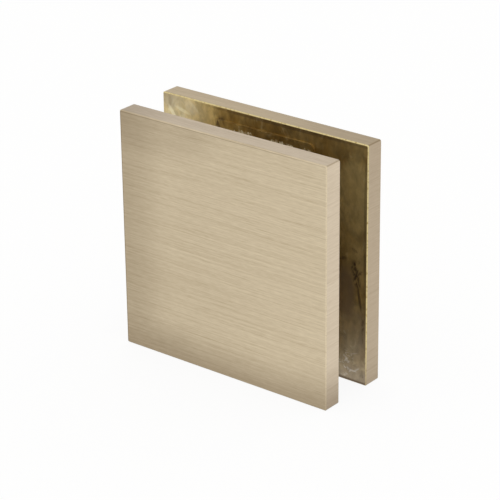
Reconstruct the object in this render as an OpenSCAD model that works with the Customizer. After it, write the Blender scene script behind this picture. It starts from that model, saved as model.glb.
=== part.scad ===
// Square clamp for the edge of a fixed glass panel, in solid brass.
// The front jaw is one casting: a square plate with a base block behind it.
// One screw down through the block holds the clamp to a wall or floor, and
// the glass stands in the slot above the block. The back jaw is a second
// square plate, which two countersunk screws draw towards the front jaw.
//
// X runs across the plates, Y from the front face to the back and Z up from
// the base. The origin is the middle of the base. Sizes are in millimetres.

/* [Plates] */
// Width of each plate
plate_w = 50.8; // [42:0.2:70]
// Height of each plate
plate_h = 50.8; // [42:0.2:70]
// Thickness of each plate
plate_t = 4.3; // [4:0.1:8]
// Radius of a plate's four corners
corner_r = 0.4; // [0.4:0.1:3]
// Width of the small flat that breaks a plate's long edges
edge_break = 0.2; // [0.1:0.05:0.35]

/* [Glass slot] */
// Width of the slot between the plates, screws home
slot_w = 8.9; // [8.8:0.1:14]

/* [Base block] */
// Width of the block
block_w = 25.4; // [24.6:0.2:36]
// Height of the block
block_h = 16; // [13:0.5:22]
// Radius of the block's two upper corners
block_corner_r = 1.5; // [0.5:0.1:2.5]
// Radius of the fillet between the block and the front plate
root_r = 0.8; // [0.4:0.1:1.5]
// Diameter of the hole for the wall screw
wall_hole_d = 4.8; // [3.6:0.1:5.6]
// Diameter of that hole's countersink
wall_sink_d = 8.4; // [6.4:0.1:8.6]

/* [Clamp screws] */
// Distance from each screw's axis to the near side of the block
screw_inset = 4.7; // [4.2:0.1:5.2]
// Height of the screws above the base
screw_z = 8.5; // [7:0.1:11]
// Diameter over the thread
thread_d = 5.9; // [5:0.1:6.2]
// Pitch of the thread
thread_pitch = 1; // [0.7:0.05:1.25]
// Distance that the screws' ends reach into the front plate
tip_reach = 0.95; // [0.5:0.05:1.3]
// Diameter of the head
head_d = 11.6; // [10:0.1:12.4]
// Height of the straight rim round the head's top
head_rim = 0.3; // [0.1:0.05:0.4]
// Depth of the head's top below the back plate's face
head_recess = 0.15; // [0.05:0.05:0.3]
// Width across the flats of the hexagon socket
socket_af = 4; // [3:0.5:5]
// Depth of the socket down to its flats' end
socket_depth = 2.3; // [1.6:0.1:2.6]
// Width of the chamfer at the socket's mouth
socket_chamfer = 0.25; // [0.1:0.05:0.4]

/* [Raised pad] */
// Width of the plain pad on the back plate's inner face
pad_w = 25.6; // [18:0.2:36]
// Height of the pad
pad_h = 8; // [5:0.5:14]
// Radius of the pad's corners
pad_r = 1.3; // [0.5:0.1:2.4]
// Distance that the pad stands out from the plate
pad_proud = 0.35; // [0.2:0.05:0.6]
// Distance from the plate's top edge to the pad
pad_drop = 2.7; // [1.5:0.1:6]

/* [Clearances] */
// Gap all round a screw in its tapped hole
thread_gap = 0.05; // [0.02:0.01:0.1]
// Gap all round a screw in the back plate
through_gap = 0.1; // [0.05:0.01:0.1]
// Gap under a screw's head, along the screw
head_gap = 0.05; // [0.02:0.01:0.1]
// Space past a screw's end in its blind hole
tip_gap = 0.4; // [0.2:0.05:0.5]

/* [Hidden] */

// Places along Y, from the front face to the back one
depth = 2 * plate_t + slot_w;
front_face = -depth / 2;
slot_front = front_face + plate_t;
slot_back = slot_front + slot_w;
back_face = depth / 2;

// A clamp screw is measured from the top of its head, down its axis
head_top = back_face - head_recess;
screw_x = block_w / 2 - screw_inset;
thread_r = thread_d / 2;
head_r = head_d / 2;
screw_len = head_top - slot_front + tip_reach;
// Thread depth of the metric profile, which the chamfers run down to
thread_depth = 0.6134 * thread_pitch;
tapped_r = thread_r + thread_gap;
through_r = thread_r + through_gap;

// Half of a twist drill's 118 degree point
drill_half_angle = 59;
// Half of a countersunk head's 90 degree cone
sink_half_angle = 45;
// Length that a cutting solid runs past the face it enters
overcut = 1;

bright_brass = [0.84, 0.75, 0.60];
screw_brass = [0.78, 0.68, 0.48];

$fn = 96;

// Turns a solid built along +Z so that it points at the front face
module towards_front() {
    rotate([90, 0, 0]) children();
}

// Rectangle with rounded corners, standing on the X axis
module rounded_rectangle(w, h, r) {
    translate([-w / 2, r]) square([w, h - 2 * r]);
    translate([-w / 2 + r, 0]) square([w - 2 * r, h]);
    for (x = [-w / 2 + r, w / 2 - r], z = [r, h - r]) {
        translate([x, z]) circle(r);
    }
}

// Rectangle with its four corners cut off at 45 degrees, centred
module broken_rectangle(w, t, cut) {
    polygon([
        [-w / 2 + cut, -t / 2],
        [w / 2 - cut, -t / 2],
        [w / 2, -t / 2 + cut],
        [w / 2, t / 2 - cut],
        [w / 2 - cut, t / 2],
        [-w / 2 + cut, t / 2],
        [-w / 2, t / 2 - cut],
        [-w / 2, -t / 2 + cut]
    ]);
}

// One corner of a plate: a short post with the broken edge turned on both ends
module plate_corner() {
    rotate([-90, 0, 0]) {
        rotate_extrude() {
            polygon([
                [0, -plate_t / 2],
                [corner_r - edge_break, -plate_t / 2],
                [corner_r, -plate_t / 2 + edge_break],
                [corner_r, plate_t / 2 - edge_break],
                [corner_r - edge_break, plate_t / 2],
                [0, plate_t / 2]
            ]);
        }
    }
}

// Square plate with broken edges and rounded corners, its middle at y = 0
module plate() {
    straight_w = plate_w - 2 * corner_r;
    straight_h = plate_h - 2 * corner_r;
    translate([0, 0, corner_r]) {
        linear_extrude(straight_h) broken_rectangle(plate_w, plate_t, edge_break);
    }
    translate([-straight_w / 2, 0, plate_h / 2]) {
        rotate([90, 0, 90]) linear_extrude(straight_w) broken_rectangle(plate_t, plate_h, edge_break);
    }
    for (x = [-straight_w / 2, straight_w / 2], z = [corner_r, corner_r + straight_h]) {
        translate([x, 0, z]) plate_corner();
    }
}

// Section of a fillet in the angle of two faces, which meet at the origin
module fillet_section(r) {
    difference() {
        square(r);
        translate([r, r]) circle(r);
    }
}

// Fillet round the block's sides and top, where it grows from the front plate
module root_fillet() {
    side_h = block_h - block_corner_r;
    top_w = block_w - 2 * block_corner_r;
    translate([0, slot_front, 0]) {
        for (side = [-1, 1]) {
            mirror([side < 0 ? 1 : 0, 0, 0]) {
                translate([block_w / 2, 0, 0]) linear_extrude(side_h) fillet_section(root_r);
                translate([top_w / 2, 0, side_h]) {
                    rotate([-90, 0, 0]) mirror([0, 1, 0]) rotate_extrude(angle = 90) {
                        translate([block_corner_r, 0]) fillet_section(root_r);
                    }
                }
            }
        }
        translate([-top_w / 2, 0, block_h]) {
            rotate([90, 0, 90]) linear_extrude(top_w) fillet_section(root_r);
        }
    }
}

// Base block: it sets the slot's width and rises from the front plate's foot
module base_block() {
    translate([0, slot_back, 0]) towards_front() {
        linear_extrude(slot_w) {
            translate([-block_w / 2, 0]) square([block_w, block_h - block_corner_r]);
            translate([-block_w / 2 + block_corner_r, 0]) {
                square([block_w - 2 * block_corner_r, block_h]);
            }
            for (side = [-1, 1]) {
                translate([side * (block_w / 2 - block_corner_r), block_h - block_corner_r]) {
                    circle(block_corner_r);
                }
            }
        }
    }
}

// Hole down through the block for the wall screw, countersunk from above
module wall_screw_hole() {
    hole_r = wall_hole_d / 2;
    sink_r = wall_sink_d / 2;
    sink_depth = (sink_r - hole_r) / tan(sink_half_angle);
    rotate_extrude() {
        polygon([
            [0, -overcut],
            [hole_r, -overcut],
            [hole_r, block_h - sink_depth],
            [sink_r, block_h],
            [sink_r, block_h + overcut],
            [0, block_h + overcut]
        ]);
    }
}

// Blind tapped hole that takes a clamp screw, from the block's back face in
module tapped_hole() {
    hole_len = slot_w + tip_reach + tip_gap;
    mouth_r = tapped_r + thread_depth;
    point_len = tapped_r / tan(drill_half_angle);
    towards_front() rotate_extrude() {
        polygon([
            [0, -overcut],
            [mouth_r, -overcut],
            [mouth_r, 0],
            [tapped_r, thread_depth],
            [tapped_r, hole_len],
            [0, hole_len + point_len]
        ]);
    }
}

// Hole through the back plate that seats a clamp screw's head
module screw_seat() {
    rim_end = head_recess + head_rim;
    seat_r = head_r + head_gap;
    mouth_r = seat_r + rim_end;
    cone_len = (mouth_r - through_r) / tan(sink_half_angle);
    towards_front() rotate_extrude() {
        polygon([
            [0, -overcut],
            [mouth_r, -overcut],
            [mouth_r, 0],
            [through_r, cone_len],
            [through_r, plate_t + overcut],
            [0, plate_t + overcut]
        ]);
    }
}

// Hexagon socket, with the drilled hollow below it and its chamfered mouth
module hex_socket() {
    drill_r = socket_af / 2;
    corner_reach = drill_r / cos(30);
    translate([0, 0, -overcut]) {
        cylinder(r = corner_reach, h = socket_depth + overcut, $fn = 6);
    }
    translate([0, 0, socket_depth]) {
        cylinder(r1 = drill_r, r2 = 0, h = drill_r / tan(drill_half_angle));
    }
    rotate_extrude() {
        polygon([
            [0, -overcut],
            [corner_reach + socket_chamfer, -overcut],
            [corner_reach + socket_chamfer, 0],
            [corner_reach, socket_chamfer],
            [0, socket_chamfer]
        ]);
    }
}

// Countersunk socket screw, from its head's top down +Z
module clamp_screw() {
    cone_len = (head_r - thread_r) / tan(sink_half_angle);
    difference() {
        rotate_extrude() {
            polygon([
                [0, 0],
                [head_r, 0],
                [head_r, head_rim],
                [thread_r, head_rim + cone_len],
                [thread_r, screw_len - thread_depth],
                [thread_r - thread_depth, screw_len],
                [0, screw_len]
            ]);
        }
        hex_socket();
    }
}

// Puts its children on the axis of the left (-1) or right (1) clamp screw
module at_screw(side, y) {
    translate([side * screw_x, y, screw_z]) children();
}

module front_jaw() {
    color(bright_brass) difference() {
        union() {
            translate([0, front_face + plate_t / 2, 0]) plate();
            base_block();
            root_fillet();
        }
        translate([0, (slot_front + slot_back) / 2, 0]) wall_screw_hole();
        for (side = [-1, 1]) {
            at_screw(side, slot_back) tapped_hole();
        }
    }
}

module back_jaw() {
    color(bright_brass) difference() {
        union() {
            translate([0, back_face - plate_t / 2, 0]) plate();
            translate([0, slot_back, plate_h - pad_drop - pad_h]) {
                towards_front() linear_extrude(pad_proud) rounded_rectangle(pad_w, pad_h, pad_r);
            }
        }
        for (side = [-1, 1]) {
            at_screw(side, back_face) screw_seat();
        }
    }
}

module left_screw() {
    color(screw_brass) at_screw(-1, head_top) towards_front() clamp_screw();
}

module right_screw() {
    color(screw_brass) at_screw(1, head_top) towards_front() clamp_screw();
}

front_jaw();
back_jaw();
left_screw();
right_screw();
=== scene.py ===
import bpy, bmesh, math
from functools import partial, reduce
from mathutils import Matrix, Vector


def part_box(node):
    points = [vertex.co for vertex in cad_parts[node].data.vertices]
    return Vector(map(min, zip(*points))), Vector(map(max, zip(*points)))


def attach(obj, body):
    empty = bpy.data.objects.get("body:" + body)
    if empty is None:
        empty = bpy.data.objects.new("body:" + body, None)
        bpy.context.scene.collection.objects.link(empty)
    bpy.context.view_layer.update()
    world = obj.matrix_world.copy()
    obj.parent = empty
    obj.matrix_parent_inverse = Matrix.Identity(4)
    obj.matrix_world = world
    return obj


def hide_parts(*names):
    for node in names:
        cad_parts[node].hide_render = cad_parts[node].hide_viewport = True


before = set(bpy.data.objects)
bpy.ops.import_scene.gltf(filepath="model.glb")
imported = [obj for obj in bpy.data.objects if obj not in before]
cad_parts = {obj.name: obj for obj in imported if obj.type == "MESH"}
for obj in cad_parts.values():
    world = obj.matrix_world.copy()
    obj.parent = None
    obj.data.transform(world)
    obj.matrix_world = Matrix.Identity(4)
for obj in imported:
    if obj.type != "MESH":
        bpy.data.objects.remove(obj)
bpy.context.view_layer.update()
mm = 0.001
scene = bpy.context.scene
print("frame loaded:", sorted(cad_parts))


def linearColour(hexColour):
    channels = [int(hexColour[i:i + 2], 16) / 255 for i in (1, 3, 5)]
    return [c / 12.92 if c <= 0.04045 else ((c + 0.055) / 1.055) ** 2.4 for c in channels] + [1.0]


def addNode(tree, kind, links=None, out=0, **settings):
    # links: input names or numbers, each with an output of another node or a value of its own
    node = tree.nodes.new("ShaderNode" + kind)
    for key, value in settings.items():
        setattr(node, key, value)
    for key, value in (links or {}).items():
        if isinstance(value, bpy.types.NodeSocket):
            tree.links.new(value, node.inputs[key])
        else:
            node.inputs[key].default_value = value
    return node.outputs[out] if node.outputs else node


def newMaterial(name):
    material = bpy.data.materials.new(name)
    material.use_nodes = True
    material.node_tree.nodes.clear()
    return material, material.node_tree


def grain(tree, place, size, shift=0.0, detail=2.0, distortion=0.0):
    # clouds, or lines where one size is much longer; size: mm from one to the next along X, Y and Z
    scale = [1 / (s * mm) for s in size]
    moved = addNode(tree, "Mapping", {"Vector": place, "Location": [shift] * 3, "Scale": scale})
    return addNode(tree, "TexNoise", {"Vector": moved, "Scale": 1.0, "Detail": detail,
                                      "Roughness": 0.55, "Distortion": distortion})


def mark(tree, place, x, z, width, height, tilt=0.0):
    # an oval place on a wide face, in mm and degrees: 1 over its middle, 0 from its edge outwards
    moved = addNode(tree, "Mapping", {
        "Vector": place, "Location": (x * mm, 0, z * mm), "Rotation": (0, math.radians(tilt), 0),
        "Scale": (width / 2 * mm, 1, height / 2 * mm)}, vector_type="TEXTURE")
    middle = addNode(tree, "TexGradient", {"Vector": moved}, out="Fac", gradient_type="SPHERICAL")
    return addNode(tree, "MapRange", {"Value": middle, "From Max": 0.45})


# Solid brass, its outer faces belt-brushed along the width and lacquered: an even, pale satin
# tone with fine straight lines. The faces inside the slot stay raw, yellower and glossier.
brass = {
    "hair": 0.24,              # mm between brush hairlines, coarser than the real 0.08 to show
    "hairLength": 30.0,        # mm
    "contrast": 0.62,          # of the hairlines
    "scratch": 0.30,           # mm between the places of the deeper lines
    "scratchLength": 14.0,     # mm
    "scratchDepth": 0.16,      # how much darker they are
    "streak": 7.0,             # mm between broad, faint streaks
    "streakShare": 0.03,       # how much lighter they are
    "sideCalm": 0.35,          # how much fainter all lines are on the narrow sides
    "lineShade": (1.0, 1.15, 1.38),  # lines lose or gain more blue than red, so that they look grey
    "shadeTint": (1.0, 1.08, 1.16),  # so do the painted shade and highlight, the dark edge line and the patch
    "footReach": (11.0, -2.5),  # mm, heights between which the painted shade at the foot deepens
    "wander": 4.0,             # mm, how far the bounds of the painted shade wander
    "satin": 0.42,             # roughness of the brushed faces
    "rim": (0.72, 0.90),       # shade of the dark line along the edges, on the left and the right
    "rimTurn": (12.0, 24.0),   # mm, x between which it goes from one to the other
    "rimEnd": (0.32, 0.45),    # mm from the jaw's edge, between which that line fades out
    "cornerShade": 0.70,       # painted shade on the rounded edges between the ends and the sides
    "uprightHighlight": 1.15,      # painted highlight on the upright edges
    "raw": "#CDB880",          # raw metal inside the slot
    "mottle": (0.62, 1.3),     # its darkest and lightest clouds
    "stained": "#9B7F46",      # old stains on it
    "stainedOval": (5.0, 48.5, 36.0, 16.0),  # x, z, width and height in mm of the worst of them
    "paintedLightOvals": ((-17.0, 46.0, 12.0, 12.0), (22.5, 40.0, 9.0, 18.0)),  # painted light: fewer stains where light comes into the slot
    "grime": "#9A8D7C",        # greyer towards the foot
    "grimeReach": (22.0, 5.0),  # mm, heights between which it thickens
    "grimeShare": 0.85,
    "tarnish": "#5E4D3A",      # darkest spots, also laid on as painted shade
    "bloom": "#94826F",        # brown bloom round them
    "rubbed": "#EDE2BC",       # rubbed bright
    "scuff": "#E4DED2",        # pale scuffs, also laid on as painted light
    "glue": "#DDD0AE",         # old glue, dry and dull
    "glueOvals": ((-4.6, 45.0, 9.0, 5.6), (4.2, 44.7, 13.0, 6.2), (11.0, 44.9, 7.0, 5.2)),
    "gloss": 0.42,             # roughness of the raw faces
    "rawMetal": 0.82,          # the rest is a dull oxide film
    "edge": "#D8C792",         # bare metal on the edges broken round the slot, also laid on as painted light along its right side
    "bareReach": (1.0, 8.0),   # mm, heights between which those edges turn bare
}

# Brushed tone of the wide faces, the narrow sides and the ends. Each row of painted shade says
# along which axis, from and to where in mm, and by what share the faces are painted darker. The
# foot gets painted shade as well, where the metal mirrors the shaded floor close by: one share on
# the wide faces and another on the sides. The patch is x, z, width and height of an oval in mm,
# and a share.
jawTones = {
    "front_jaw": {"wide": "#D0C0A3", "sides": "#D4C4AC", "ends": "#BFAF98",
                  "paintedShadeAndPatch": (("x", -10.5, -25.4, 0.24), ("x", 25.4, -8.0, 0.04)),
                  "foot": 0.42, "sideFootShade": 0.50, "patch": (-18.0, 50.0, 40.0, 17.0, 0.11)},
    "back_jaw": {"wide": "#CBBBA0", "sides": "#D5C4AA", "ends": "#C0AE8F",
                 "paintedShadeAndPatch": (("x", -13.0, 25.4, 0.26), ("z", 14.0, 50.8, 0.14)),
                 "foot": 0.42, "sideFootShade": 0.30, "patch": (12.0, 2.0, 36.0, 12.0, 0.12)},
}

# The back jaw's own marks on the raw metal, painted light and painted shade among them: colour,
# pattern and strength, then the x, z, width, height in mm and the tilt in degrees of the oval that
# holds it. Each lies over those before it.
backMarks = (
    ("edge", "plain", 0.16, (22.5, 33.0, 9.0, 44.0, 0.0)),  # painted light, a little brighter along the right side where light comes into the slot
    ("edge", "plain", 0.30, (22.4, 40.5, 8.0, 12.0, 0.0)),
    ("edge", "plain", 0.12, (18.4, 48.8, 6.0, 5.0, 0.0)),
    ("tarnish", "plain", 0.45, (24.9, 33.0, 1.0, 40.0, 0.0)),  # painted shade, dark lines just inside the bright edges
    ("tarnish", "plain", 0.50, (6.0, 50.25, 46.0, 0.9, 0.0)),
    ("scuff", "plain", 0.17, (22.3, 11.5, 9.0, 13.0, 0.0)),  # painted light, a pale haze above the foot where light comes into the slot
    ("scuff", "plain", 0.14, (-20.0, 47.0, 18.0, 14.0, 0.0)),  # painted light, a pale haze in the upper left corner where light comes into the slot
    ("rubbed", "swept", 0.40, (-21.5, 47.0, 10.0, 8.0, 35.0)),
    ("rubbed", "plain", 0.70, (-22.9, 46.9, 1.1, 4.4, -36.0)),  # polish strokes
    ("rubbed", "plain", 0.55, (-20.3, 47.9, 5.2, 0.9, 15.0)),
    ("rubbed", "plain", 0.30, (-17.3, 49.2, 4.6, 0.8, 38.0)),
    ("scuff", "plain", 0.20, (-18.0, 48.9, 4.4, 3.0, 30.0)),
    ("grime", "plain", 0.30, (-23.5, 49.6, 9.0, 4.5, 0.0)),
    ("tarnish", "patchy", 0.80, (-10.4, 47.2, 2.6, 4.0, 0.0)),
    ("bloom", "plain", 0.75, (20.2, 19.0, 6.0, 15.0, 0.0)),  # brown bloom beside the run
    ("tarnish", "patchy", 0.95, (22.5, 24.6, 2.1, 4.2, -6.0)),  # blot with its branches
    ("tarnish", "patchy", 0.95, (23.0, 22.2, 2.0, 4.0, -12.0)),
    ("tarnish", "patchy", 0.80, (23.6, 23.9, 2.2, 0.9, -32.0)),
    ("tarnish", "patchy", 0.80, (23.1, 26.0, 2.2, 0.8, -41.0)),
    ("tarnish", "plain", 0.75, (23.6, 18.6, 0.8, 6.4, -10.0)),  # run
    ("tarnish", "patchy", 0.55, (24.6, 11.8, 1.0, 9.0, -2.0)),
    ("tarnish", "patchy", 0.60, (19.6, 26.2, 2.4, 0.8, -15.0)),
    ("tarnish", "patchy", 0.50, (22.4, 28.5, 2.0, 0.8, 25.0)),
    ("scuff", "patchy", 0.75, (21.3, 2.6, 1.8, 1.3, 20.0)),  # hooked scuff near the foot
    ("scuff", "plain", 0.38, (22.2, 2.5, 2.2, 0.5, 0.0)),
    ("scuff", "plain", 0.28, (23.2, 3.0, 1.7, 0.4, -38.0)),
    ("scuff", "patchy", 0.42, (20.5, 4.9, 0.7, 3.2, -40.0)),
    ("scuff", "plain", 0.22, (22.4, 6.3, 2.4, 0.35, -20.0)),
    ("scuff", "thin", 0.42, (19.8, 1.8, 2.6, 2.6, 0.0)),
    ("scuff", "thin", 0.45, (20.3, 4.4, 4.6, 7.0, 0.0)),
    ("scuff", "thin", 0.30, (20.4, 10.6, 3.0, 4.0, 0.0)),
    ("tarnish", "plain", 0.80, (10.0, 0.2, 60.0, 1.3, 0.0)),  # painted shade, a dark line along the shaded rounded edge of the foot
    ("tarnish", "patchy", 0.60, (24.6, 1.4, 0.8, 1.2, 0.0)),
)


def jawBrass(node, innerY, slotSide):
    # innerY: where the jaw's inner face lies; slotSide: 1 when the slot is at larger Y
    tones = jawTones[node]
    low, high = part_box(node)
    material, tree = newMaterial("brushed brass, " + node.replace("_", " "))
    add = partial(addNode, tree)
    place = add("TexCoord", out="Object")
    x, y, z = add("SeparateXYZ", {0: place}).node.outputs
    outward = add("VectorMath", {0: add("TexCoord", out="Normal")}, operation="ABSOLUTE")
    sideways, deepways, upways = add("SeparateXYZ", {0: outward}).node.outputs
    onSide = add("Math", {0: sideways, 1: 0.8}, operation="GREATER_THAN")
    onWide = add("Math", {0: deepways, 1: 0.9}, operation="GREATER_THAN")
    onEnd = add("Math", {0: upways, 1: 0.8}, operation="GREATER_THAN")

    # brush lines: along X on the wide faces and the ends, across the two narrow sides
    across = add("CombineXYZ", {0: y, 1: x, 2: z})
    brushed = add("Mix", {0: onSide, 4: place, 5: across}, out=1, data_type="VECTOR")
    hair, long, scratch = brass["hair"], brass["hairLength"], brass["scratch"]
    hairs = add("Mix", {0: 0.5, 2: grain(tree, brushed, (long, hair, hair), 0.0, 1.0),
                        3: grain(tree, brushed, (long / 15, hair, hair), 2.6)})
    calm = add("Math", {0: onSide, 1: brass["sideCalm"]}, operation="MULTIPLY")
    hairs = add("Mix", {0: calm, 2: hairs, 3: 0.5})
    deep = grain(tree, brushed, (brass["scratchLength"], scratch, scratch), 3.1, 1.0)
    deep = add("MapRange", {"Value": deep, "From Min": 0.60, "From Max": 0.78,
                            "To Max": -brass["scratchDepth"]})
    deep = add("Mix", {0: calm, 2: deep, 3: 0.0})
    streaks = grain(tree, brushed, (2 * long, brass["streak"], brass["streak"]), 5.3, 0.0)
    tone = add("MapRange", {"Value": hairs, "To Min": 1 - brass["contrast"] / 2,
                            "To Max": 1 + brass["contrast"] / 2})
    tone = add("Math", {0: streaks, 1: brass["streakShare"], 2: tone}, operation="MULTIPLY_ADD")
    tone = add("Math", {0: tone, 1: deep}, operation="ADD")

    # painted shade, darker towards the ends and the foot; a thin dark line along the left and top
    # edges
    uneven = grain(tree, place, (14.0, 14.0, 14.0), 8.1, 1.0)
    wander = brass["wander"] * mm
    foot = add("Mix", {0: onSide, 2: tones["foot"], 3: tones["sideFootShade"]})
    paintedShadeAndPatch = []
    for axis, begin, end, share in (*tones["paintedShadeAndPatch"], ("z", *brass["footReach"], foot)):
        along = add("Math", {0: uneven, 1: wander, 2: x if axis == "x" else z},
                    operation="MULTIPLY_ADD")
        paintedShadeAndPatch.append(add("MapRange", {"Value": along, "From Min": begin * mm + wander / 2,
                                     "From Max": end * mm + wander / 2, "To Max": share},
                        interpolation_type="SMOOTHSTEP"))
    paintedShadeAndPatch = add("CombineXYZ", dict(enumerate(paintedShadeAndPatch)))
    paintedShadeAndPatch = add("VectorMath", {0: paintedShadeAndPatch}, out="Value", operation="LENGTH")
    *oval, share = tones["patch"]
    patch = add("Math", {0: mark(tree, place, *oval), 1: onWide}, operation="MULTIPLY")
    paintedShadeAndPatch = add("Math", {0: patch, 1: share, 2: paintedShadeAndPatch}, operation="MULTIPLY_ADD")
    shade = add("Math", {0: 1.0, 1: paintedShadeAndPatch}, operation="SUBTRACT")
    fromLeft = add("Math", {0: x, 1: low.x}, operation="SUBTRACT")
    fromTop = add("Math", {0: high.z, 1: z}, operation="SUBTRACT")
    fromRim = add("Math", {0: fromLeft, 1: fromTop}, operation="MINIMUM")
    rimLeft, rimRight = brass["rim"]
    begin, end = brass["rimTurn"]
    rim = add("MapRange", {"Value": x, "From Min": begin * mm, "From Max": end * mm,
                           "To Min": rimLeft, "To Max": rimRight})
    begin, end = brass["rimEnd"]
    rim = add("MapRange", {"Value": fromRim, "From Min": begin * mm, "From Max": end * mm,
                           "To Min": rim})
    rim = add("Mix", {0: onWide, 2: 1.0, 3: rim})
    # painted shade on the rounded edges between the ends and the sides, painted highlight on the
    # upright edges
    corner = add("Math", {0: sideways, 1: upways}, operation="MULTIPLY")
    upright = add("Math", {0: sideways, 1: deepways}, operation="MULTIPLY")
    corner, upright = (add("MapRange", {"Value": slant, "From Min": 0.3, "From Max": 0.48,
                                        "To Min": 1.0, "To Max": brass[name]})
                       for slant, name in ((corner, "cornerShade"), (upright, "uprightHighlight")))
    for part in (rim, corner, upright):
        shade = add("Math", {0: shade, 1: part}, operation="MULTIPLY")
    colour = linearColour(tones["wide"])
    for share, name in ((onSide, "sides"), (onEnd, "ends")):
        colour = add("Mix", {0: share, 6: colour, 7: linearColour(tones[name])},
                     out=2, data_type="RGBA")
    for part, share in ((tone, brass["lineShade"]), (shade, brass["shadeTint"])):
        part = add("VectorMath", {0: part, 1: share, 2: [1 - c for c in share]},
                   operation="MULTIPLY_ADD")
        colour = add("VectorMath", {0: colour, 1: part}, operation="MULTIPLY")

    # raw metal: stains, thinned by painted light where light comes into the slot, brown mottling,
    # grime towards the foot, rubbed streaks
    smears = grain(tree, place, (2.5, 2.5, 4.0), 4.4, 4.0, 1.5)
    mottle = grain(tree, place, (1.2, 1.2, 1.9), 3.9, 6.0, 0.3)
    stains = add("MapRange", {"Value": grain(tree, place, (8.0, 8.0, 8.0), 1.9, 3.0, 0.6),
                              "From Min": 0.35, "From Max": 0.75})
    stains = add("Math", {0: mark(tree, place, *brass["stainedOval"]), 1: 0.7, 2: stains},
                 operation="MULTIPLY_ADD", use_clamp=True)
    # painted light: the stains thin out where light comes into the slot
    paintedLight = [mark(tree, place, *oval) for oval in brass["paintedLightOvals"]]
    paintedLight = add("Math", dict(enumerate(paintedLight)), operation="MAXIMUM")
    stains = add("Math", {0: stains, 1: paintedLight}, operation="SUBTRACT", use_clamp=True)
    begin, end = brass["grimeReach"]
    grime = add("Math", {0: smears, 1: 8 * mm, 2: z}, operation="MULTIPLY_ADD")
    grime = add("MapRange", {"Value": grime, "From Min": begin * mm, "From Max": end * mm,
                             "To Max": brass["grimeShare"]})
    streak = add("MapRange", {"Value": smears, "From Min": 0.60, "From Max": 0.80, "To Max": 0.4})
    raw = linearColour(brass["raw"])
    for share, name in ((stains, "stained"), (grime, "grime"), (streak, "rubbed")):
        raw = add("Mix", {0: share, 6: raw, 7: linearColour(brass[name])}, out=2, data_type="RGBA")
    darkest, lightest = brass["mottle"]
    mottle = add("MapRange", {"Value": mottle, "From Min": 0.25, "From Max": 0.75,
                              "To Min": darkest, "To Max": lightest})
    raw = add("VectorMath", {0: raw, "Scale": mottle}, operation="SCALE")
    dry = 0.0
    if node == "back_jaw":
        swept = grain(tree, place, (2.6, 2.6, 2.6), 9.2, 2.0, 1.2)
        ragged = grain(tree, place, (1.0, 1.0, 1.8), 2.7, 4.0, 1.0)
        thin = grain(tree, place, (3.0, 3.0, 1.4), 4.9, 2.0, 1.0)
        thin = add("Math", {0: thin, 1: 0.5, 2: 0.035}, operation="COMPARE")  # one level of the clouds
        broken = add("Math", {0: ragged, 1: 0.5}, operation="GREATER_THAN")
        patterns = {"plain": 1.0,  # how a mark fills its oval
                    "swept": add("MapRange", {"Value": swept, "From Min": 0.46, "From Max": 0.66}),
                    "patchy": add("MapRange", {"Value": ragged, "From Min": 0.40, "From Max": 0.58}),
                    "thin": add("Math", {0: thin, 1: broken}, operation="MULTIPLY")}
        for name, pattern, strength, oval in backMarks:
            share = add("Math", {0: mark(tree, place, *oval), 1: strength}, operation="MULTIPLY")
            share = add("Math", {0: share, 1: patterns[pattern]}, operation="MULTIPLY")
            raw = add("Mix", {0: share, 6: raw, 7: linearColour(brass[name])},
                      out=2, data_type="RGBA")

        # dabs of old glue with ragged edges, worn thin in places
        dabs = (mark(tree, place, *oval) for oval in brass["glueOvals"])
        dabs = reduce(lambda one, other: add("Math", {0: one, 1: other}, operation="MAXIMUM"), dabs)
        fine = grain(tree, place, (0.8, 0.8, 0.6), 6.1, 5.0, 0.4)
        dabs = add("Math", {0: dabs, 1: 0.5, 2: fine}, operation="MULTIPLY_ADD")
        thick = add("MapRange", {"Value": ragged, "From Min": 0.38, "From Max": 0.60, "To Min": 0.3})
        dry = add("MapRange", {"Value": dabs, "From Min": 0.80, "From Max": 0.86, "To Max": thick})
        raw = add("Mix", {0: dry, 6: raw, 7: linearColour(brass["glue"])}, out=2, data_type="RGBA")

    # raw on the slot's side of the inner face, bare on the edges broken round that face
    inward = add("Math", {0: y, 1: slotSide, 2: -innerY * slotSide}, operation="MULTIPLY_ADD")
    isRaw = add("Math", {0: inward, 1: -0.01 * mm}, operation="GREATER_THAN")
    slanted = add("Math", {0: deepways, 1: 0.7, 2: 0.2}, operation="COMPARE")
    onEdge = add("Math", {0: inward, 1: -0.13 * mm, 2: 0.12 * mm}, operation="COMPARE")
    isEdge = add("Math", {0: slanted, 1: onEdge}, operation="MULTIPLY")
    begin, end = brass["bareReach"]
    fromFoot = add("MapRange", {"Value": z, "From Min": begin * mm, "From Max": end * mm,
                                "To Min": 0.25})
    isEdge = add("Math", {0: isEdge, 1: fromFoot}, operation="MULTIPLY")
    nicks = add("MapRange", {"Value": grain(tree, place, (0.7, 0.7, 0.7), 6.6),
                             "From Min": 0.25, "From Max": 0.5})
    bare = add("Mix", {0: nicks, 6: linearColour(brass["stained"]), 7: linearColour(brass["edge"])},
               out=2, data_type="RGBA")
    for share, part in ((isEdge, bare), (isRaw, raw)):
        colour = add("Mix", {0: share, 6: colour, 7: part}, out=2, data_type="RGBA")

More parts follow.
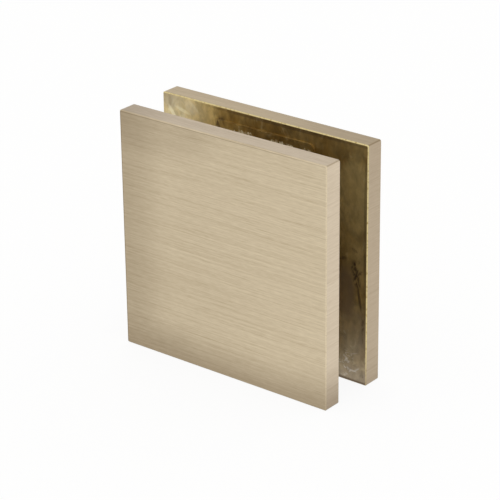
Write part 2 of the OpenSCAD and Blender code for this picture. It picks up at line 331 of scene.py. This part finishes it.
    satin = add("MapRange", {"Value": hairs, "To Min": brass["satin"] - 0.06,
                             "To Max": brass["satin"] + 0.06})
    gloss = add("MapRange", {"Value": smears, "To Min": brass["gloss"] - 0.12,
                             "To Max": brass["gloss"] + 0.12})
    roughness = add("Mix", {0: isRaw, 2: satin, 3: gloss})
    film = add("Math", {0: dry, 1: -brass["rawMetal"], 2: brass["rawMetal"]},
               operation="MULTIPLY_ADD")
    metal = add("Mix", {0: isRaw, 2: 1.0, 3: film})
    height = add("Mix", {0: isRaw, 2: tone, 3: smears})
    bump = add("Bump", {"Strength": 0.5, "Distance": 0.03 * mm, "Height": height})
    shader = add("BsdfPrincipled", {"Metallic": metal, "Base Color": colour, "Roughness": roughness,
                                    "Normal": bump})
    add("OutputMaterial", {"Surface": shader})
    return material


plateT = 4.3 * mm  # both plates
innerFaces = (("front_jaw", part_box("front_jaw")[0].y + plateT, 1),
              ("back_jaw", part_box("back_jaw")[1].y - plateT, -1))
for node, innerY, slotSide in innerFaces:
    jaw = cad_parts[node]
    jaw.data.materials.clear()
    jaw.data.materials.append(jawBrass(node, innerY, slotSide))
print("jaws finished in brushed and raw brass")


# Turned steel, brass plated: bright and smooth, with fine turning rings on the head's top,
# duller where the key has rubbed the socket's mouth.
screw = {
    "rim": 0.3,              # mm, straight rim round the head's top
    "rimRound": 0.1,         # mm, its rounded edge
    "threadRadius": 2.95,    # mm over the crests
    "pitch": 1.0,            # mm
    "threadDepth": 0.6134,   # share of the pitch, as on a metric thread
    "crestFlat": 0.125,      # share of the pitch
    "flats": 4.0,            # mm across the socket's flats
    "socketDepth": 2.3,      # mm
    "mouthChamfer": 0.25,    # mm
    "steps": 48,             # round one turn
    "plating": "#CDBA90",
    "platingWorn": "#8F7D58",
    "ring": 0.2,             # mm between turning rings, coarser than the real feed to show
    "mouthWear": (2.75, 2.3),  # mm from the axis, between which the socket's inside grows duller
}


def ringEdges(bm, z, tolerance=0.01):
    # open edges that lie round the screw at one depth
    return [e for e in bm.edges if e.is_boundary and all(abs(v.co.z - z) < tolerance for v in e.verts)]


def threadedScrew(node):
    # built in mm with the head's top at the origin and the screw down +Z, then put in its place
    low, high = (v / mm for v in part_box(node))
    length, headRadius = high.y - low.y, (high.x - low.x) / 2
    depth = screw["threadDepth"] * screw["pitch"]
    crest, root, steps = screw["threadRadius"], screw["threadRadius"] - depth, screw["steps"]
    start = screw["rim"] + headRadius - root  # where the head's cone ends and the thread starts
    bm = bmesh.new()

    # thread: one pitch of its profile, wound down the screw and cut off at both ends
    flank = depth * math.tan(math.radians(30))
    crestHalf = screw["crestFlat"] * screw["pitch"] / 2
    middle = screw["pitch"] / 2
    profile = [(root, 0), (root, middle - crestHalf - flank), (crest, middle - crestHalf),
               (crest, middle + crestHalf), (root, middle + crestHalf + flank), (root, screw["pitch"])]
    turns = math.ceil((length - start) / screw["pitch"]) + 1
    verts = [bm.verts.new((r, 0, start - screw["pitch"] + z)) for r, z in profile]
    edges = [bm.edges.new(pair) for pair in zip(verts, verts[1:])]
    bmesh.ops.spin(bm, geom=verts + edges, axis=(0, 0, 1), cent=(0, 0, 0),
                   dvec=(0, 0, screw["pitch"] / steps), angle=2 * math.pi * turns,
                   steps=steps * turns, use_merge=False)
    bmesh.ops.remove_doubles(bm, verts=bm.verts, dist=0.002)
    for z, away in ((start, -1), (length, 1)):
        bmesh.ops.bisect_plane(bm, geom=bm.verts[:] + bm.edges[:] + bm.faces[:], dist=1e-5,
                               plane_co=(0, 0, z), plane_no=(0, 0, away), clear_outer=True)
    for v in bm.verts:  # the thread runs out at 45 degrees at both ends
        limit = root + min(v.co.z - start, length - v.co.z)
        if v.co.xy.length > limit:
            v.co.xy *= limit / v.co.xy.length
    bmesh.ops.contextual_create(bm, geom=ringEdges(bm, length))

    # head: rim and 90 degree cone, turned in one go
    halfFlats = screw["flats"] / 2
    corner = halfFlats / math.cos(math.radians(30))
    mouth = corner + screw["mouthChamfer"]
    outline = ((mouth, 0), (headRadius, 0), (headRadius, screw["rim"]), (root, start))
    verts = [bm.verts.new((r, 0, z)) for r, z in outline]
    edges = [bm.edges.new(pair) for pair in zip(verts, verts[1:])]
    bmesh.ops.bevel(bm, geom=[verts[1]], offset=screw["rimRound"], segments=3, profile=0.5,
                    affect="VERTICES", material=-1)
    edges = [e for e in bm.edges if e.is_wire]
    bmesh.ops.spin(bm, geom=edges + list({v for e in edges for v in e.verts}), axis=(0, 0, 1),
                   cent=(0, 0, 0), angle=2 * math.pi, steps=steps, use_merge=True)
    bmesh.ops.bridge_loops(bm, edges=ringEdges(bm, start))

    # socket: hexagon with a chamfered mouth, down to the drilled hollow
    mouthEdges = ringEdges(bm, 0)
    bmesh.ops.create_circle(bm, segments=6, radius=corner,
                            matrix=Matrix.Rotation(math.pi / 2, 4, "Z"))
    sides = [e for e in bm.edges if e.is_wire]
    bmesh.ops.subdivide_edges(bm, edges=sides, cuts=steps // 6 - 1)
    sides = [e for e in bm.edges if e.is_wire]
    for v in {v for e in sides for v in e.verts}:
        v.co.z = mouth - v.co.xy.length  # on the chamfer's cone
    bmesh.ops.bridge_loops(bm, edges=mouthEdges + sides)
    ring, floor = sides, screw["socketDepth"]
    tip = floor + halfFlats * 0.8 / math.tan(math.radians(59))  # blunt cone of a 118 degree drill
    for radius, z in ((None, floor), (halfFlats * 0.99, floor), (halfFlats * 0.2, tip)):
        made = bmesh.ops.extrude_edge_only(bm, edges=ring)["geom"]
        ring = [g for g in made if isinstance(g, bmesh.types.BMEdge) and g.is_boundary]
        for v in {v for e in ring for v in e.verts}:
            v.co.z = z
            if radius:
                v.co.xy *= radius / v.co.xy.length
    bmesh.ops.contextual_create(bm, geom=ring)

    bmesh.ops.remove_doubles(bm, verts=bm.verts, dist=0.002)
    bmesh.ops.recalc_face_normals(bm, faces=bm.faces)
    centre = Vector(((low.x + high.x) / 2, high.y, (low.z + high.z) / 2))
    turn = Matrix.Translation(centre) @ Matrix.Rotation(math.pi / 2, 4, "X")
    bmesh.ops.transform(bm, matrix=Matrix.Scale(mm, 4) @ turn, verts=bm.verts)
    mesh = bpy.data.meshes.new(node + "_threaded")
    bm.to_mesh(mesh)
    bm.free()
    mesh.shade_smooth()
    mesh.set_sharp_from_angle(angle=math.radians(32))
    piece = bpy.data.objects.new(node + "_threaded", mesh)
    scene.collection.objects.link(piece)
    return piece


def screwSteel(axisX, axisZ):
    material, tree = newMaterial("brass plated steel")
    add = partial(addNode, tree)
    place = add("TexCoord", out="Object")
    x, y, z = add("SeparateXYZ", {0: place}).node.outputs
    # both screws share the pattern: their axes stand at the same distance from the middle
    beside = add("Math", {0: x}, operation="ABSOLUTE")
    beside = add("Math", {0: beside, 1: axisX}, operation="SUBTRACT")
    above = add("Math", {0: z, 1: axisZ}, operation="SUBTRACT")
    fromAxis = add("CombineXYZ", {0: beside, 1: above})
    radius = add("VectorMath", {0: fromAxis}, out="Value", operation="LENGTH")
    rings = add("TexNoise", {"W": radius, "Scale": 1 / (screw["ring"] * mm), "Detail": 2.0},
                noise_dimensions="1D")
    rings = add("MapRange", {"Value": rings, "From Min": 0.35, "From Max": 0.65})
    grime = grain(tree, place, (1.6, 1.6, 1.6), 2.2, 4.0)
    begin, end = screw["mouthWear"]
    inSocket = add("MapRange", {"Value": radius, "From Min": begin * mm, "From Max": end * mm,
                                "To Max": 0.40})
    worn = add("MapRange", {"Value": grime, "From Min": 0.5, "From Max": 0.8, "To Max": 0.45})
    worn = add("Math", {0: worn, 1: inSocket}, operation="ADD")
    worn = add("Math", {0: rings, 1: 0.30, 2: worn}, operation="MULTIPLY_ADD", use_clamp=True)
    plating, platingWorn = linearColour(screw["plating"]), linearColour(screw["platingWorn"])
    colour = add("Mix", {0: worn, 6: plating, 7: platingWorn}, out=2, data_type="RGBA")
    height = add("Math", {0: rings, 1: grime}, operation="ADD")
    bump = add("Bump", {"Strength": 0.4, "Distance": 0.02 * mm, "Height": height})
    gloss = add("MapRange", {"Value": grime, "To Min": 0.20, "To Max": 0.42})
    shader = add("BsdfPrincipled", {"Metallic": 1.0, "Base Color": colour, "Roughness": gloss,
                                    "Normal": bump})
    add("OutputMaterial", {"Surface": shader})
    return material


leftLow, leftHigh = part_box("left_screw")
plating = screwSteel(abs(leftLow.x + leftHigh.x) / 2, (leftLow.z + leftHigh.z) / 2)
for node in ("left_screw", "right_screw"):
    piece = threadedScrew(node)
    piece.data.materials.append(plating)
    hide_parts(node)
    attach(piece, node)
    print(piece.name, "threaded,", len(piece.data.polygons), "faces")


studio = {
    "floorSize": 4.0,          # m
    "floor": "#F2F1EF",
    "floorWhite": 0.9,         # share of plain white that the camera, metal and glass see on the floor
    "lamp": {"size": 1.2, "power": 3.0, "place": (0.9, -0.5, 1.3)},  # m, W, m
    "camera": {"azimuth": 38.62, "elevation": 23.75, "roll": -0.66,  # degrees
               "distance": 441.4, "lens": 160.82, "aim": (0.355, -0.268, 24.42)},  # mm
}


def makeFloor():
    # matt paper, evenly white, with the soft shadow of what stands on it
    bm = bmesh.new()
    bmesh.ops.create_grid(bm, x_segments=1, y_segments=1, size=studio["floorSize"] / 2)
    mesh = bpy.data.meshes.new("floor")
    bm.to_mesh(mesh)
    bm.free()
    floor = bpy.data.objects.new("floor", mesh)
    scene.collection.objects.link(floor)
    material, tree = newMaterial("matt white paper")
    add = partial(addNode, tree)
    ray = add("LightPath").node.outputs
    seen = add("Math", {0: ray["Is Camera Ray"], 1: ray["Is Glossy Ray"]}, operation="MAXIMUM")
    seen = add("Math", {0: seen, 1: ray["Is Transmission Ray"]}, operation="MAXIMUM")
    share = add("Math", {0: seen, 1: studio["floorWhite"]}, operation="MULTIPLY")
    fibres = grain(tree, add("TexCoord", out="Object"), (0.4, 0.4, 0.4), 0.0, 3.0)
    bump = add("Bump", {"Strength": 0.2, "Distance": 0.02 * mm, "Height": fibres})
    matt = add("BsdfDiffuse", {"Color": linearColour(studio["floor"]), "Normal": bump})
    white = add("Emission", {"Color": (1, 1, 1, 1), "Strength": 1.0})
    add("OutputMaterial", {"Surface": add("MixShader", {0: share, 1: matt, 2: white})})
    mesh.materials.append(material)


def makeWorld():
    world = bpy.data.worlds.new("studio")
    world.use_nodes = True
    world.node_tree.nodes.clear()
    back = addNode(world.node_tree, "Background", {"Color": (1, 1, 1, 1), "Strength": 1.0})
    addNode(world.node_tree, "OutputWorld", {"Surface": back})
    scene.world = world


def makeLamp(name, size, power, place):
    data = bpy.data.lights.new(name, "AREA")
    data.shape = "SQUARE"
    data.size = size
    data.energy = power
    lamp = bpy.data.objects.new(name, data)
    lamp.location = place
    lamp.rotation_euler = Vector(place).to_track_quat("Z", "Y").to_euler()
    scene.collection.objects.link(lamp)


def makeCamera(view):
    azimuth, elevation, roll = (math.radians(view[k]) for k in ("azimuth", "elevation", "roll"))
    back = Vector((math.sin(azimuth) * math.cos(elevation), -math.cos(azimuth) * math.cos(elevation),
                   math.sin(elevation)))
    right = Vector((math.cos(azimuth), math.sin(azimuth), 0))
    up = back.cross(right)
    right, up = (right * math.cos(roll) + up * math.sin(roll),
                 up * math.cos(roll) - right * math.sin(roll))
    data = bpy.data.cameras.new("camera")
    data.sensor_width = 36  # mm
    data.lens = view["lens"]
    camera = bpy.data.objects.new("camera", data)
    camera.matrix_world = (Matrix.Translation(Vector(view["aim"]) * mm + back * view["distance"] * mm)
                           @ Matrix((right, up, back)).transposed().to_4x4())
    scene.collection.objects.link(camera)
    scene.camera = camera


makeFloor()
makeWorld()
makeLamp("soft lamp", **studio["lamp"])
makeCamera(studio["camera"])
scene.view_settings.view_transform = "Standard"
print("floor, light and camera placed")
